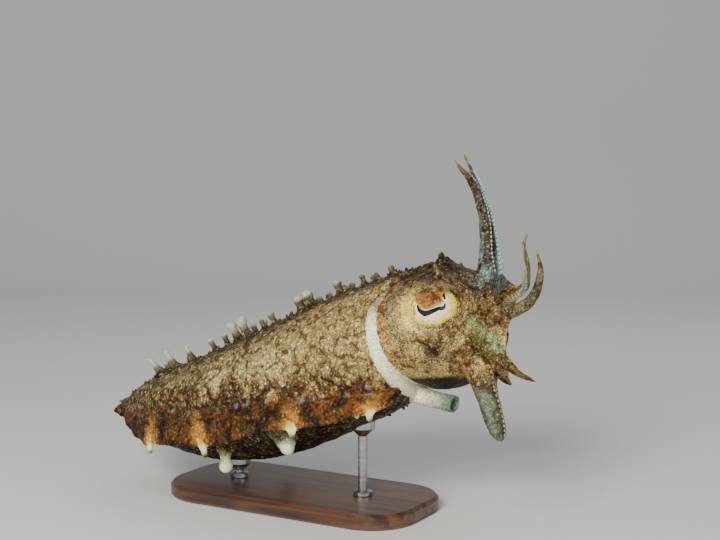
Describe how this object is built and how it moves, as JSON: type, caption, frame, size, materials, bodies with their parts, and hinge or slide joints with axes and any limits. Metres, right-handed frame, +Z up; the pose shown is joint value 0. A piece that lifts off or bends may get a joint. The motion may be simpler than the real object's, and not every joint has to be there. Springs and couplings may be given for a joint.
{
  "type": "cuttlefish model",
  "caption": "Life-size cuttlefish on a plain display stand, head raised, first arms held up, skin papillae out along the back.",
  "frame": {"origin": "middle of the underside of the stand's base", "axes": "+X towards the head, +Y to the animal's left, +Z up"},
  "size_m": [0.3375, 0.1257, 0.228],
  "materials": {
    "skin_mantle": "damp skin, mottled cream and brown",
    "skin_head": "damp skin, speckled tan and brown",
    "skin_arm": "damp skin, brown and blue-green",
    "skin_fin": "damp thin skin, rust orange",
    "skin_funnel": "damp pale skin with fine dark specks",
    "eye": "wet gloss, cream iris and dark pupil",
    "skin_mouth": "damp pale skin",
    "beak": "dark horn",
    "stand_wood": "dark satin wood",
    "stand_steel": "brushed"
  },
  "bodies": {
    "root": {"mantle": "skin_mantle", "eye_right": "eye", "eye_left": "eye", "head": "skin_head", "funnel": "skin_funnel", "arm_1_right_root": "skin_arm", "arm_1_right_tip": "skin_arm", "arm_1_left_root": "skin_arm", "arm_1_left_tip": "skin_arm", "arm_2_right_root": "skin_arm", "arm_2_right_tip": "skin_arm", "arm_2_left_root": "skin_arm", "arm_2_left_tip": "skin_arm", "arm_3_right_root": "skin_arm", "arm_3_right_tip": "skin_arm", "arm_3_left_root": "skin_arm", "arm_3_left_tip": "skin_arm", "arm_4_right_root": "skin_arm", "arm_4_right_tip": "skin_arm", "arm_4_left_root": "skin_arm", "arm_4_left_tip": "skin_arm", "fin_right_rear": "skin_fin", "fin_right_front": "skin_fin", "fin_left_rear": "skin_fin", "fin_left_front": "skin_fin", "mouth_collar": "skin_mouth", "beak": "beak", "stand_rod_rear": "stand_steel", "stand_rod_front": "stand_steel", "stand_base": "stand_wood"}
  },
  "joints": []
}
